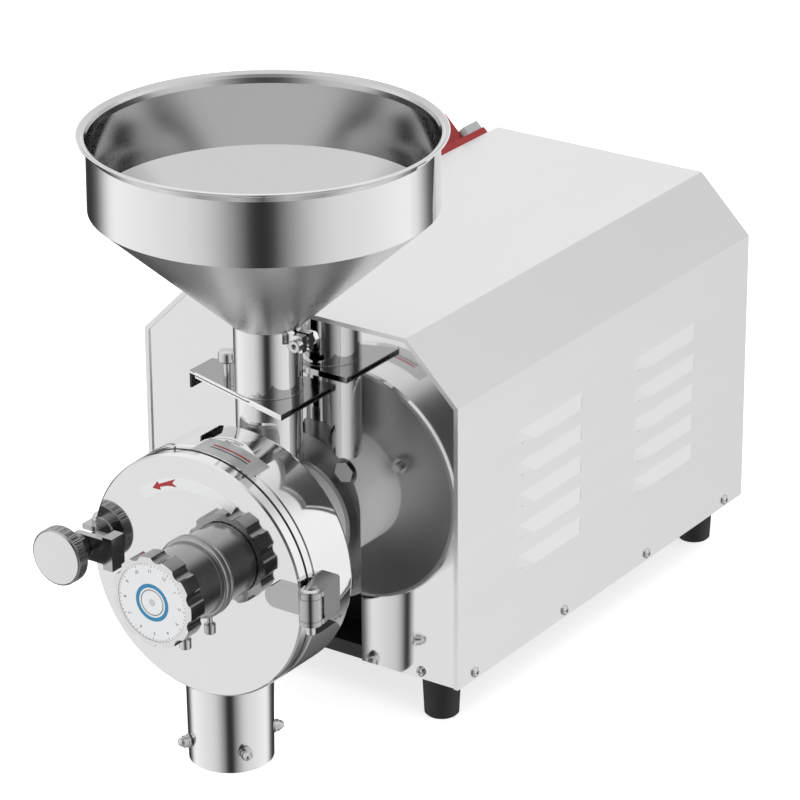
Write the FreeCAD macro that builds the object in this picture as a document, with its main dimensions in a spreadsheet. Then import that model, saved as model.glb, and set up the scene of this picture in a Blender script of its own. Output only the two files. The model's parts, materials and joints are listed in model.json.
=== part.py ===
import FreeCAD, Part
import math
import os
import re
import Sketcher

# A bench-top grain mill: a motor in a sheet housing turns a grooved disc in a round chamber.
# Millimetres, +Z up, +Y towards the back. In the sheet, y is counted from the front panel's face.
# The part's own origin is on the floor, in the middle of its four feet.
DIMENSIONS = {
    # housing
    "housing_width": 250,
    "housing_length": 369,
    "feet_height": 28,
    "side_rise": 199.8,
    "top_rise": 239.3,
    "sheet_wall": 1.2,
    "hem_width": 3.2,
    "notch_radius": 48,
    "notch_centre": 134,
    "feet_half_span": 103,
    "front_feet": 14,
    "rear_feet": 340,
    "foot_radius": 12.9,
    "screw_rise": 5.2,
    "pan_height": 10,
    # motor
    "shaft_height": 123,
    "shaft_radius": 10,
    "flange_radius": 64,
    "flange_front": 5,
    "flange_thick": 12,
    "motor_radius": 66,
    "motor_back": 232,
    "stator_bore": 46.5,
    # grinding chamber
    "barrel_radius": 40,
    "barrel_bore": 33.5,
    "drum_radius": 83.4,
    "drum_wall": 3.4,
    "drum_front": -104,
    "drum_back": -57.4,
    "disc_radius": 62,
    # front cover
    "cover_radius": 83,
    "cover_front": -113.4,
    "hinge_across": 93,
    "hinge_front": -118,
    "hinge_pin_radius": 3,
    "clamp_across": -91.5,
    "knob_front": -142.5,
    "knob_radius": 19.5,
    # adjusting dial
    "sleeve_radius": 25,
    "sleeve_front": -147.4,
    "spindle_radius": 12,
    "dial_front": -159.4,
    "dial_radius": 31,
    "dial_thick": 14,
    # feed
    "feed_back": -32,
    "tube_radius": 22.5,
    "tube_bore": 21.05,
    "plate_height": 221.5,
    "neck_height": 270.5,
    "bowl_height": 351,
    "bowl_radius": 111.8,
    "rim_height": 396.5,
    # discharge
    "spout_back": -80.5,
    "spout_radius": 28.6,
    "spout_bore": 26.9,
    "spout_bottom": -19,
    "spout_shoulder": 38,
    # switch
    "switch_start": 297,
}

UP = "Z"
X_AXIS = FreeCAD.Vector(1, 0, 0)
Y_AXIS = FreeCAD.Vector(0, 1, 0)
Z_AXIS = FreeCAD.Vector(0, 0, 1)
# Each turns a shape's own +Z to the direction named.
TURNS = {
    "Z": FreeCAD.Rotation(Z_AXIS, 0),
    "-Z": FreeCAD.Rotation(X_AXIS, 180),
    "X": FreeCAD.Rotation(Y_AXIS, 90),
    "-X": FreeCAD.Rotation(Y_AXIS, -90),
    "Y": FreeCAD.Rotation(X_AXIS, -90),
    "-Y": FreeCAD.Rotation(X_AXIS, 90),
    "chamfer": FreeCAD.Rotation(Y_AXIS, -45),
    "slope": FreeCAD.Rotation(Y_AXIS, 45),
}
FEET_MIDDLE = "(front_feet + rear_feet) / 2"

doc = FreeCAD.newDocument("grain_mill")
sheet = doc.addObject("Spreadsheet::Sheet", "dims")
for row, (alias, value) in enumerate(DIMENSIONS.items(), 1):
    sheet.set("A%d" % row, alias)
    sheet.set("B%d" % row, str(value))
    sheet.setAlias("B%d" % row, alias)
doc.recompute()
nodes = []


def formula(text):
    """Turns a sum of dimension names and numbers into one that reads the sheet."""
    return re.sub(
        r"[a-z_]+",
        lambda word: "dims." + word.group(0) if word.group(0) in DIMENSIONS else word.group(0),
        str(text),
    )


def bind(item, **sizes):
    for name, text in sizes.items():
        item.setExpression(name, formula(text))
    return item


def place(item, x=0, y=0, z=0, along=UP, turn=0):
    """Puts an item at x, y, z with its own +Z along the direction named, turned about that direction."""
    turned_by = TURNS[along] * FreeCAD.Rotation(Z_AXIS, turn)
    item.Placement = FreeCAD.Placement(FreeCAD.Vector(), turned_by)
    back = "%s - %s" % (y, FEET_MIDDLE)
    for name, text in (("x", x), ("y", back), ("z", z)):
        item.setExpression("Placement.Base." + name, formula(text))
    return item


def cylinder(name, radius, length, x=0, y=0, z=0, along=UP):
    item = doc.addObject("Part::Cylinder", name)
    return place(bind(item, Radius=radius, Height=length), x, y, z, along)


def cone(name, start, end, length, x=0, y=0, z=0, along=UP):
    item = doc.addObject("Part::Cone", name)
    return place(bind(item, Radius1=start, Radius2=end, Height=length), x, y, z, along)


def box(name, across, back, up, x=0, y=0, z=0):
    """A box centred on x, from y and z on."""
    item = doc.addObject("Part::Box", name)
    bind(item, Length=across, Width=back, Height=up)
    return place(item, "%s - (%s) / 2" % (x, across), y, z)


def hexagon(name, flats, length, x=0, y=0, z=0, along=UP, turn=0):
    """A hexagonal prism, as wide across its flats as given."""
    item = doc.addObject("Part::Prism", name)
    bind(item, Circumradius="(%s) / sqrt(3)" % flats, Height=length)
    item.Polygon = 6
    return place(item, x, y, z, along, turn)


def ring(name, outer, inner, length, x=0, y=0, z=0, along=UP):
    wall = cylinder(name + "_wall", outer, length, x, y, z, along)
    hole = cylinder(name + "_hole", inner, length, x, y, z, along)
    return cut(name, wall, hole)


def fuse(name, *shapes):
    item = doc.addObject("Part::MultiFuse", name)
    item.Shapes = list(shapes)
    return item


def cut(name, base, *tools):
    item = doc.addObject("Part::Cut", name)
    item.Base = base
    item.Tool = tools[0] if len(tools) == 1 else fuse(name + "_tools", *tools)
    return item


def group(name, *shapes):
    """Separate solids that share one node, such as a set of screws."""
    item = doc.addObject("Part::Compound", name)
    item.Links = list(shapes)
    return item


def outline(body, name, plane, points):
    """A closed sketch through the points, each held to the body's origin by its two sizes."""
    sketch = body.newObject("Sketcher::SketchObject", name)
    flat = [feature for feature in body.Origin.OriginFeatures if feature.Role == plane][0]
    sketch.AttachmentSupport = (flat, "")
    sketch.MapMode = "FlatFace"
    step = 2 * math.pi / len(points)
    first = [FreeCAD.Vector(9 * math.cos(step * n), 9 * math.sin(step * n), 0) for n in range(len(points))]
    for start, end in zip(first, first[1:] + first[:1]):
        sketch.addGeometry(Part.LineSegment(start, end))
    for index, sizes in enumerate(points):
        before = (index - 1) % len(points)
        sketch.addConstraint(Sketcher.Constraint("Coincident", before, 2, index, 1))
        for kind, text, value in zip(("DistanceX", "DistanceY"), sizes, first[index]):
            held = sketch.addConstraint(Sketcher.Constraint(kind, -1, 1, index, 1, value))
            sketch.setExpression("Constraints[%d]" % held, formula(text))
    return sketch


def turned(name, profile, x=0, y=0, z=0, along=UP):
    """A body turned about its own axis. The profile lists radius and distance along the axis."""
    body = doc.addObject("PartDesign::Body", name)
    sketch = outline(body, name + "_profile", "XZ_Plane", profile)
    spin = body.newObject("PartDesign::Revolution", name + "_turn")
    spin.Profile = sketch
    spin.ReferenceAxis = (sketch, ["V_Axis"])
    spin.Angle = 360
    sketch.Visibility = False
    return place(body, x, y, z, along)


def plate(name, points, thick, x=0, y=0, z=0, along=UP):
    """A flat body of the outline given, as thick as given along its own +Z."""
    body = doc.addObject("PartDesign::Body", name)
    sketch = outline(body, name + "_outline", "XY_Plane", points)
    pad = body.newObject("PartDesign::Pad", name + "_pad")
    pad.Profile = sketch
    pad.setExpression("Length", formula(thick))
    return place(body, x, y, z, along)


def node(item, name):
    """Names a finished sub-part, which is written under this name."""
    item.Label = name
    nodes.append(item)
    return item



# ---------------------------------------------------------------- housing
def section(inset, bottom="feet_height"):
    """The housing's six-cornered outline, moved in all round by inset and open downwards."""
    half = "housing_width / 2 - (%s)" % inset
    side = "feet_height + side_rise - (%s) * 0.4142" % inset
    top = "feet_height + top_rise - (%s)" % inset
    flat = "housing_width / 2 - (top_rise - side_rise) - (%s) * 0.4142" % inset
    right = [(half, bottom), (half, side), (flat, top)]
    return right + [("-(%s)" % u, v) for u, v in reversed(right)]


def screw_places():
    """Where the housing's small screws go: a direction and a point for each."""
    low = "feet_height + screw_rise"
    edge = "housing_width / 2"
    places = []
    for back in (20, 130, 237, 344):
        places.append(("X", edge, back, low))
        places.append(("-X", "-" + edge, back, low))
    for side in ("", "-"):
        places.append(("-Y", side + "95.2", "sheet_wall", low))
        places.append(("Y", side + "95.2", "housing_length - sheet_wall", low))
    return places


def screw_holes(name):
    """Plain holes for the housing's small screws, as tools for a cut."""
    inwards = {"X": (-8, 0), "-X": (8, 0), "Y": (0, -8), "-Y": (0, 8)}
    holes = []
    for index, (along, x, y, z) in enumerate(screw_places()):
        shift_x, shift_y = inwards[along]
        start = ("%s + %s" % (x, shift_x), "%s + %s" % (y, shift_y))
        holes.append(cylinder("%s_hole_%d" % (name, index), 1.7, 16, *start, z, along))
    return fuse(name + "_holes", *holes)


LOUVRE_ROWS = 5
LOUVRE_PITCH = 22.6
LOUVRE_LONG = 77
LOUVRE_HIGH = 9
LOUVRE_PROUD = 4
LOUVRE_FRONT_RUN = 14
LOUVRE_REAR_RUN = 7.5


def louvres(name, inset, side):
    """Raised slots on a side wall, open along the lower edge and fading into the wall elsewhere."""
    wedges = []
    rear, front = (LOUVRE_REAR_RUN, LOUVRE_FRONT_RUN) if side > 0 else (LOUVRE_FRONT_RUN, LOUVRE_REAR_RUN)
    start = -3 if inset else -1
    share = (start + inset) / LOUVRE_PROUD
    for back in (72, 218.5):
        for step in range(LOUVRE_ROWS):
            wedge = doc.addObject("Part::Wedge", "%s_%d" % (name, len(wedges)))
            wedge.Ymin, wedge.Ymax = start, LOUVRE_PROUD - inset
            wedge.Xmin, wedge.Xmax = rear * share, LOUVRE_LONG - front * share
            wedge.X2min, wedge.X2max = rear, LOUVRE_LONG - front
            wedge.Zmin, wedge.Zmax = -inset, LOUVRE_HIGH * (1 - share)
            wedge.Z2min, wedge.Z2max = -inset, 0.05
            low = "feet_height + %s" % (59 + LOUVRE_PITCH * step)
            if side > 0:
                place(wedge, "housing_width / 2", back + LOUVRE_LONG, low)
            else:
                place(wedge, "-housing_width / 2", back, low)
            wedge.Placement.Rotation = FreeCAD.Rotation(Z_AXIS, -90 * side)
            wedges.append(wedge)
    return fuse(name, *wedges)


def housing():
    outside = plate("cover_outside", section(0), "housing_length", y="housing_length", along="-Y")
    inside = plate("cover_inside", section("sheet_wall", "feet_height - 5"),
                   "housing_length - 2 * sheet_wall", y="housing_length - sheet_wall", along="-Y")
    mouth = plate("cover_mouth", section("hem_width", "feet_height - 5"), "housing_length + 10",
                  y="housing_length + 5", along="-Y")
    right, left = louvres("louvre_right", 0, 1), louvres("louvre_left", 0, -1)
    shell = cut("cover_shell", fuse("cover_blank", outside, right, left), inside, mouth)
    slots = fuse("louvre_slots", louvres("slot_right", 1, 1), louvres("slot_left", 1, -1))
    switch_hole = box("switch_hole", 46, 54.4, 12, 0, "switch_start + 2.8", -6)
    place(switch_hole, *chamfer_point(-23, "switch_start + 2.8", -6), along="chamfer")
    node(cut("cover_open", shell, slots, screw_holes("cover"), switch_hole), "housing_cover")

    panel = plate("front_blank", section("sheet_wall + 0.1"), 1.5, y="sheet_wall + 1.5", along="-Y")
    arch = cylinder("notch_arch", "notch_radius", 10, 0, -5, "notch_centre", "Y")
    slot = box("notch_slot", "2 * notch_radius", 10, "notch_centre", 0, -5, 0)
    bolt_room = [cylinder("bolt_room", 9.6, 10, x, -5, z, "Y") for x, z in bolt_places()]
    node(cut("front_cut", panel, arch, slot, *bolt_room, screw_holes("front")), "front_panel")

    rear = plate("rear_blank", section("sheet_wall + 0.1"), 1.5, y="housing_length - sheet_wall", along="-Y")
    vents = []
    for count, radius in ((1, 0), (6, 13), (12, 26), (18, 39), (24, 52)):
        for turn in range(count):
            angle = 2 * math.pi * turn / count
            rise = "shaft_height + %s" % (radius * math.sin(angle))
            vents.append(cylinder("vent_%d" % len(vents), 3.6, 10, radius * math.cos(angle),
                                  "housing_length - 8", rise, "Y"))
    gland_hole = cylinder("gland_hole", 8, 10, 80, "housing_length - 8", "feet_height + 34", "Y")
    node(cut("rear_cut", rear, fuse("vents", *vents), gland_hole, screw_holes("rear")), "rear_panel")

    tray = box("tray", "housing_width - 2 * sheet_wall - 0.4", "housing_length - 2 * sheet_wall - 3.4",
               "pan_height", 0, "sheet_wall + 1.7", "feet_height")
    room = box("tray_room", "housing_width - 2 * sheet_wall - 4.4", "housing_length - 2 * sheet_wall - 7.4",
               "pan_height", 0, "sheet_wall + 3.7", "feet_height + 2")
    holes = [cylinder("pan_hole", 2.6, 10, x, y, "feet_height - 4") for x, y in feet_places()]
    node(cut("pan_cut", tray, room, fuse("pan_holes", *holes), screw_holes("pan")), "base_pan")


def feet_places():
    return [(side + "feet_half_span", back) for side in ("", "-") for back in ("front_feet", "rear_feet")]


def feet():
    top = "feet_height"
    feet_made, screws = [], []
    for x, y in feet_places():
        foot = turned("foot", [(0, 0), ("foot_radius - 2.6", 0), ("foot_radius - 1.3", 1.3),
                               ("foot_radius", top), (0, top)], x, y)
        feet_made.append(cut("foot_cut", foot, cylinder("foot_bore", 2.5, "feet_height - 8", x, y, 8)))
        head = turned("foot_screw", [(0, -18), (2.5, -18), (2.5, 2), (5, 2), (5, 3.6), (3.6, 5.2), (0, 5.2)],
                      x, y, top)
        screws.append(head)
    node(group("feet_group", *feet_made), "rubber_feet")
    node(group("foot_screw_group", *screws), "foot_screws")


def cover_screws():
    screws = []
    for along, x, y, z in screw_places():
        head = turned("small_screw", [
            (0, -7), (1.6, -7), (1.6, 0), (3.6, 0), (3.5, 0.9), (2.4, 1.9), (0, 2.2),
        ], x, y, z, along)
        slots = []
        for turn in (0, 90):
            bar = doc.addObject("Part::Box", "small_screw_slot")
            bind(bar, Length=4, Width=0.8, Height=2)
            spin = FreeCAD.Placement(FreeCAD.Vector(), FreeCAD.Rotation(Z_AXIS, turn))
            slots.append(inside_of(bar, spin, (-2, -0.4, 1), x, y, z, along))
        screws.append(cut("small_screw_cut", head, *slots))
    node(group("cover_screw_group", *screws), "cover_screws")


def inside_of(item, spin, offset, x, y, z, along):
    """Puts an item at an offset in the frame of a turned body at x, y, z."""
    turned_by = TURNS[along] * spin.Rotation
    moved = turned_by.multVec(FreeCAD.Vector(*offset))
    item.Placement = FreeCAD.Placement(FreeCAD.Vector(), turned_by)
    back = "%s - %s" % (y, FEET_MIDDLE)
    for name, text, shift in zip("xyz", (x, back, z), moved):
        item.setExpression("Placement.Base." + name, formula("%s + %.4f" % (text, shift)))
    return item


def chamfer_point(up_slope, back, proud):
    """A point on the left chamfer: distances up its slope from the middle, along Y, and out of it."""
    middle = "-(housing_width - (top_rise - side_rise)) / 2"
    x = "%s + (%s - (%s)) * 0.70711" % (middle, up_slope, proud)
    z = "feet_height + (side_rise + top_rise) / 2 + (%s + %s) * 0.70711" % (up_slope, proud)
    return x, back, z


# ---------------------------------------------------------------- motor
def motor():
    axis = {"z": "shaft_height", "along": "Y"}
    shell_length = "motor_back - flange_front - flange_thick"
    start = "flange_front + flange_thick"
    shell = ring("shell", "motor_radius", "motor_radius - 5", shell_length, y=start, **axis)
    fins = []
    for turn in range(0, 360, 20):
        fin = doc.addObject("Part::Box", "fin")
        bind(fin, Length=2.4, Width=3.4, Height=shell_length)
        spin = FreeCAD.Placement(FreeCAD.Vector(), FreeCAD.Rotation(Z_AXIS, turn))
        fins.append(inside_of(fin, spin, (-1.2, 65.6, 0), 0, start, "shaft_height", "Y"))
    node(fuse("shell_finned", shell, *fins), "motor_shell")
    core = ring("core_ring", "motor_radius - 5", "stator_bore", 120, y=62, **axis)
    coils = [ring("coil", "motor_radius - 9", "stator_bore + 2", 18, y=back, **axis) for back in (44, 182)]
    node(fuse("stator_whole", core, *coils), "stator")

    flange = cylinder("flange", "flange_radius", "flange_thick", y="flange_front", **axis)
    bore = cylinder("flange_bore", 21, 40, y=0, **axis)
    holes = [cylinder("bolt_hole", 4.1, 40, x, 0, z, "Y") for x, z in bolt_places()]
    neck = turned("neck", [
        ("barrel_bore - 12", -9), ("barrel_radius + 1.5", -9), ("barrel_radius + 2.5", -8),
        ("barrel_radius + 2.5", 1), ("barrel_bore - 12", 1),
    ], 0, "flange_front", "shaft_height", "Y")
    node(cut("flange_cut", fuse("flange_neck", flange, neck), bore, fuse("flange_holes", *holes)),
         "motor_front_flange")
    bolts = []
    for x, z in bolt_places():
        head = hexagon("bolt_head", 13, 5.3, x, "flange_front", z, "-Y", 15)
        shank = cylinder("bolt_shank", 4, "flange_thick + 8", x, "flange_front", z, "Y")
        bolts.append(fuse("bolt", head, shank))
    node(group("bolts", *bolts), "flange_bolts")

    bell = cylinder("bell", "motor_radius - 2", 10, y="motor_back", **axis)
    node(cut("bell_cut", bell, cylinder("bell_bore", 16, 30, y="motor_back - 5", **axis)), "motor_rear_bell")
    cowl = cylinder("cowl", "motor_radius", 44, y="motor_back + 10", **axis)
    cowl_room = cylinder("cowl_room", "motor_radius - 1.5", 42.5, y="motor_back + 10", **axis)
    vents = []
    for count, radius in ((6, 22), (12, 38), (16, 54)):
        for turn in range(count):
            angle = 2 * math.pi * turn / count
            vents.append(cylinder("cowl_vent", 4, 10, radius * math.cos(angle), "motor_back + 48",
                                  "shaft_height + %s" % (radius * math.sin(angle)), "Y"))
    node(cut("cowl_cut", cowl, cowl_room, fuse("cowl_vents", *vents)), "fan_cowl")
    node(ring("front_race", 21, "shaft_radius + 0.05", 12, y="flange_front", **axis), "front_bearing")
    node(ring("rear_race", 16, "shaft_radius + 0.05", 10, y="motor_back", **axis), "rear_bearing")

    saddles = []
    for back in (46, 190):
        saddle = box("saddle", 110, 14, 40, 0, back, "feet_height + 2")
        round_out = cylinder("saddle_round", "motor_radius + 3.1", 30, y=back - 5, **axis)
        saddles.append(cut("saddle_cut", saddle, round_out))
    node(group("saddles", *saddles), "motor_cradle")
    terminal = box("terminal", 70, 84, 30, 0, 90, "shaft_height + 66")
    seat = cylinder("terminal_seat", "motor_radius + 3.1", 120, y=70, **axis)
    node(cut("terminal_cut", terminal, seat), "terminal_box")
    can = cylinder("can", 19, 92, 94, 128, "feet_height + 21.1", "Y")
    terminals = [box("can_terminal", 6, 8, 3, x, 120, "feet_height + 21") for x in (87, 101)]
    node(fuse("can_whole", can, *terminals), "run_capacitor")


def bolt_places():
    """The four flange bolts, on a circle of 53 mm radius."""
    across, rise = 36, 39
    return [(x, "shaft_height + %s" % z) for x in (-across, across) for z in (-rise, rise)]


# ---------------------------------------------------------------- grinding chamber
def chamber():
    axis = {"z": "shaft_height", "along": "Y"}
    barrel = cylinder("barrel", "barrel_radius", "flange_front - 9 - drum_back", y="drum_back", **axis)
    barrel_hole = cylinder("barrel_hole", "barrel_bore", 100, y=-70, **axis)
    feed_hole = cylinder("feed_hole", "tube_radius - 3", 60, 0, "feed_back", "shaft_height")
    node(cut("barrel_cut", barrel, barrel_hole, feed_hole), "feed_barrel")
    drum = turned("drum", [
        ("barrel_bore", "drum_back - drum_wall"),
        ("drum_radius - drum_wall", "drum_back - drum_wall"),
        ("drum_radius - drum_wall", "drum_front"),
        ("drum_radius", "drum_front"),
        ("drum_radius", "drum_front + 4"),
        ("drum_radius - 0.8", "drum_front + 4.8"),
        ("drum_radius - 0.8", "drum_front + 6"),
        ("drum_radius", "drum_front + 6.8"),
        ("drum_radius", "drum_back - 3"),
        ("drum_radius - 0.9", "drum_back - 0.9"),
        ("drum_radius - 3", "drum_back"),
        ("barrel_bore", "drum_back"),
    ], z="shaft_height", along="Y")
    outlet = cylinder("drum_outlet", 20, 90, 0, "spout_back - 0.5", "shaft_height - 100")
    studs = [cylinder("stud_hole", 3, 30, x, "drum_back - 20", z, "Y") for x, z in stud_places()]
    node(cut("drum_cut", drum, outlet, fuse("stud_holes", *studs)), "drum_body")

    disc = ring("fixed_ring", "disc_radius", "barrel_bore", 9, y="drum_back - drum_wall - 9", **axis)
    node(cut("fixed_cut", disc, grooves("fixed_groove", "drum_back - drum_wall - 11"),
             fuse("disc_holes", *[cylinder("disc_hole", 3, 6, x, "drum_back - drum_wall - 6", z, "Y")
                                  for x, z in stud_places()])), "fixed_disc")
    bolts = []
    for x, z in stud_places():
        rod = cylinder("disc_rod", 3, "drum_wall + 16", x, "drum_back - drum_wall - 6", z, "Y")
        bolts.append(fuse("disc_bolt", rod, hexagon("disc_nut_hex", 10, 5, x, "drum_back", z, "Y")))
    node(group("disc_bolt_group", *bolts), "disc_studs")


def stud_places():
    return [(49 * math.cos(math.radians(turn)), "shaft_height + %.4f" % (49 * math.sin(math.radians(turn))))
            for turn in (30, 150, 270)]


def grooves(name, back):
    """Radial bars that cut the grinding grooves into a disc's face."""
    bars = []
    for turn in range(0, 360, 24):
        bar = doc.addObject("Part::Box", name)
        bind(bar, Length=40, Width=3, Height=4)
        spin = FreeCAD.Placement(FreeCAD.Vector(), FreeCAD.Rotation(Z_AXIS, turn))
        bars.append(inside_of(bar, spin, (30, -8, 0), 0, back, "shaft_height", "Y"))
    return fuse(name + "s", *bars)


def rotor():
    axis = {"z": "shaft_height", "along": "Y"}
    disc_back = "drum_back - drum_wall - 9.6"
    long_part = cylinder("shaft_long", "shaft_radius", 350, y=disc_back, **axis)
    thread = cylinder("shaft_thread", 6, "drum_back - drum_wall - 9.6 + 93.2 + 1", y=-93.2, **axis)
    node(fuse("shaft_whole", long_part, thread), "rotor_shaft")
    node(ring("core", "stator_bore - 0.5", "shaft_radius", 120, y=62, **axis), "rotor_core")
    node(auger(), "feed_auger")
    disc = ring("turning", "disc_radius - 1", 6, 6, y="drum_back - drum_wall - 15.6", **axis)
    node(cut("turning_cut", disc, grooves("turning_groove", "drum_back - drum_wall - 11.6")), "rotating_disc")
    nut = hexagon("end_nut", 19, 8, 0, "drum_back - drum_wall - 15.6", "shaft_height", "-Y")
    small = cylinder("end_nut_bore", 6, 30, y=-100, **axis)
    node(cut("end_nut_cut", nut, small), "disc_nut")
    hub = ring("fan_hub", 18, "shaft_radius", 16, y="motor_back + 16", **axis)
    blades = []
    for turn in range(0, 360, 45):
        blade = doc.addObject("Part::Box", "blade")
        bind(blade, Length=42, Width=2, Height=14)
        spin = FreeCAD.Placement(FreeCAD.Vector(), FreeCAD.Rotation(Z_AXIS, turn))
        blades.append(inside_of(blade, spin, (17, -1, 1), 0, "motor_back + 16", "shaft_height", "Y"))
    node(fuse("fan", hub, *blades), "cooling_fan")


def auger():
    """A screw flight round the shaft that carries grain forward to the discs."""
    inner = sheet.get("shaft_radius")
    outer = sheet.get("barrel_bore") - 1.5
    length, pitch, thick = 46, 30, 4
    flight = Part.makeHelix(pitch, length, inner + 1)
    blade = Part.makePolygon([
        FreeCAD.Vector(inner - 0.5, 0, -thick / 2), FreeCAD.Vector(outer, 0, -thick / 4),
        FreeCAD.Vector(outer, 0, thick / 4), FreeCAD.Vector(inner - 0.5, 0, thick / 2),
        FreeCAD.Vector(inner - 0.5, 0, -thick / 2)])
    sweep = Part.Wire(flight).makePipeShell([blade], True, True)
    hub = Part.makeCylinder(inner + 4, length + 6, FreeCAD.Vector(0, 0, -3))
    hole = Part.makeCylinder(inner, length + 20, FreeCAD.Vector(0, 0, -10))
    item = doc.addObject("Part::Feature", "auger")
    item.Shape = hub.fuse(sweep).cut(hole)
    return place(item, 0, -54, "shaft_height", "Y")


# ---------------------------------------------------------------- discharge spout
def spout():
    wall = cone("spout_wall", "spout_radius - 0.5", "spout_radius + 0.6", 80, 0, "spout_back", "spout_bottom")
    bore = cylinder("spout_hole", "spout_bore", "spout_shoulder - spout_bottom + 2", 0, "spout_back",
                    "spout_bottom - 2")
    throat = cylinder("spout_throat", 20, 30, 0, "spout_back", "spout_shoulder - 1")
    drum = cylinder("spout_saddle", "drum_radius", 140, 0, -180, "shaft_height", "Y")
    holes, screws = [], []
    for turn in (55, 145, 235, 325):
        holes.append(radial("spout_screw_hole", [(0, 20), (2, 20), (2, 40), (0, 40)], turn))
        screws.append(radial("spout_screw", [
            (0, "spout_bore + 0.3"), (2, "spout_bore + 0.3"), (2, "spout_radius + 0.4"),
            (4.6, "spout_radius + 0.4"), (4.6, "spout_radius + 1.4"), (4, "spout_radius + 1.4"),
            (4, "spout_radius + 4.4"), (3.2, "spout_radius + 4.6"), (2.9, "spout_radius + 6.2"),
            (1.7, "spout_radius + 7.6"), (0, "spout_radius + 8.1")], turn))
    node(cut("spout_cut", wall, bore, throat, drum, fuse("spout_screw_holes", *holes)), "discharge_spout")
    node(group("spout_screw_group", *screws), "spout_screws")


def radial(name, profile, turn):
    """A turned body that points out of the spout, at the angle given about it."""
    item = turned(name, profile)
    point_out = FreeCAD.Rotation(Z_AXIS, turn) * TURNS["X"]
    place(item, 0, "spout_back", -4.5)
    item.Placement.Rotation = point_out
    return item


# ---------------------------------------------------------------- feed
def feed():
    low = cylinder("low_tube", "tube_radius - 0.5", "plate_height - shaft_height", 0, "feed_back",
                   "shaft_height")
    low_bore = cylinder("low_bore", "tube_radius - 2", 200, 0, "feed_back", "shaft_height")
    under = cylinder("low_saddle", "barrel_radius", 100, 0, -90, "shaft_height", "Y")
    beside = cylinder("low_drum", "drum_radius", "drum_back + 110", 0, -110, "shaft_height", "Y")

    sheet_thick, gap = 1.2, 1.6

    def from_tube(points):
        return [(x, "%s - feed_back" % y) for x, y in points]

    across = from_tube([(34, -65), (34, -5), (-53.7, -5), (-53.7, -39)])
    low_plate = plate("low_plate", across, sheet_thick, 0, "feed_back", "plate_height")
    rail_height = "plate_height + %s" % sheet_thick
    back_rail = box("back_rail", 87.7, 5, gap, -9.85, -10, rail_height)
    front_rail = plate("front_rail", from_tube([(34, -65), (34, -54), (2, -54), (2, -55.4)]), gap, 0,
                       "feed_back", rail_height)
    node(cut("low_cut", fuse("low_whole", low, low_plate, back_rail, front_rail), low_bore, under, beside),
         "feed_tube_lower")
    top_plate = plate("top_plate", across, sheet_thick, 0, "feed_back",
                      "plate_height + %s" % (sheet_thick + gap))
    screw_across, screw_back = -29, -37
    screw_hole = cylinder("gate_screw_hole", 2.5, 20, screw_across, screw_back, "plate_height")

    base = "plate_height + %s" % (2 * sheet_thick + gap)
    wall = cylinder("top_tube", "tube_radius", "neck_height - plate_height - 4", 0, "feed_back", base)
    lug_front = box("lug_front", 12, 5, 11, 26, "feed_back - 6.2", "neck_height - 12.5")
    lug_back = box("lug_back", 12, 5, 11, 26, "feed_back + 1.2", "neck_height - 12.5")
    bore = cylinder("top_bore", "tube_bore", 60, 0, "feed_back", "plate_height")
    slit = box("slit", 20, 2.4, 30, 30, "feed_back - 1.2", "neck_height - 24")
    lug_hole = cylinder("lug_hole", 2.5, 30, 29, "feed_back - 15", "neck_height - 7", "Y")
    weld_nut = hexagon("weld_nut", 8, 4, 29, "feed_back + 6.2", "neck_height - 7", "Y")
    whole = fuse("top_tube_lugs", top_plate, wall, lug_front, lug_back, weld_nut)
    node(cut("top_tube_cut", whole, bore, slit, lug_hole, screw_hole), "feed_tube_upper")

    outline_points = from_tube([(21.8, -10.4), (-60.2, -10.4), (-60.2, -36.4), (-2, -53.6), (21.8, -53.6)])
    gate = plate("gate", outline_points, 1.2, 0, "feed_back", "plate_height + 1.4")
    tab = box("gate_tab", 1.5, 24, 12, -60.1, -35.4, "plate_height - 9.4")
    node(fuse("gate_whole", gate, tab), "gate_plate")
    node(turned("gate_screw_body", [
        (0, 2.8), (2.4, 2.8), (2.4, 16), (4.8, 16.6), (5.8, 17.8), (5.8, 23), (5, 24), (0, 24.4),
    ], screw_across, screw_back, "plate_height"), "gate_screw")

    head = turned("clamp_head", [(1.8, 0.1), (2, 0), (3.8, 0), (4.2, 0.4), (4.2, 4.9), (0, 4.9), (0, 2.5),
                                 (1.8, 2.5)], 29, "feed_back - 11.2", "neck_height - 7", "Y")
    shank = cylinder("clamp_shank", 2.4, 19, 29, "feed_back - 6.4", "neck_height - 7", "Y")
    node(fuse("clamp_whole", head, shank), "hopper_clamp_screw")


def hopper():
    wall = 1.2
    neck_top = "neck_height + 0.3"
    neck = ring("hopper_neck", "tube_bore - 0.1", "tube_bore - 1.3", 28.3, y="feed_back",
                z="neck_height - 28")
    funnel = turned("hopper_cone", [
        ("tube_bore - 1.3", neck_top), ("tube_radius + 0.5", neck_top),
        ("bowl_radius", "bowl_height"), ("bowl_radius - %s" % wall, "bowl_height"),
    ], 0, "feed_back")
    band = turned("hopper_band", [
        ("bowl_radius - %s" % wall, "bowl_height"), ("bowl_radius", "bowl_height"),
        ("bowl_radius - 0.4", "rim_height - 3"), ("bowl_radius + 1", "rim_height + 0.4"),
        ("bowl_radius + 2.6", "rim_height + 1.4"), ("bowl_radius + 5.2", "rim_height + 2.6"),
        ("bowl_radius + 5.6", "rim_height + 3.6"), ("bowl_radius + 4.8", "rim_height + 3.8"),
        ("bowl_radius + 2.4", "rim_height + 2.7"), ("bowl_radius + 1.6", "rim_height + 3.2"),
        ("bowl_radius + 0.4", "rim_height + 2.6"), ("bowl_radius - 0.8", "rim_height + 0.6"),
        ("bowl_radius - 1.6", "rim_height - 3"),
    ], 0, "feed_back")
    node(group("hopper_parts", neck, funnel, band), "hopper")


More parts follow.
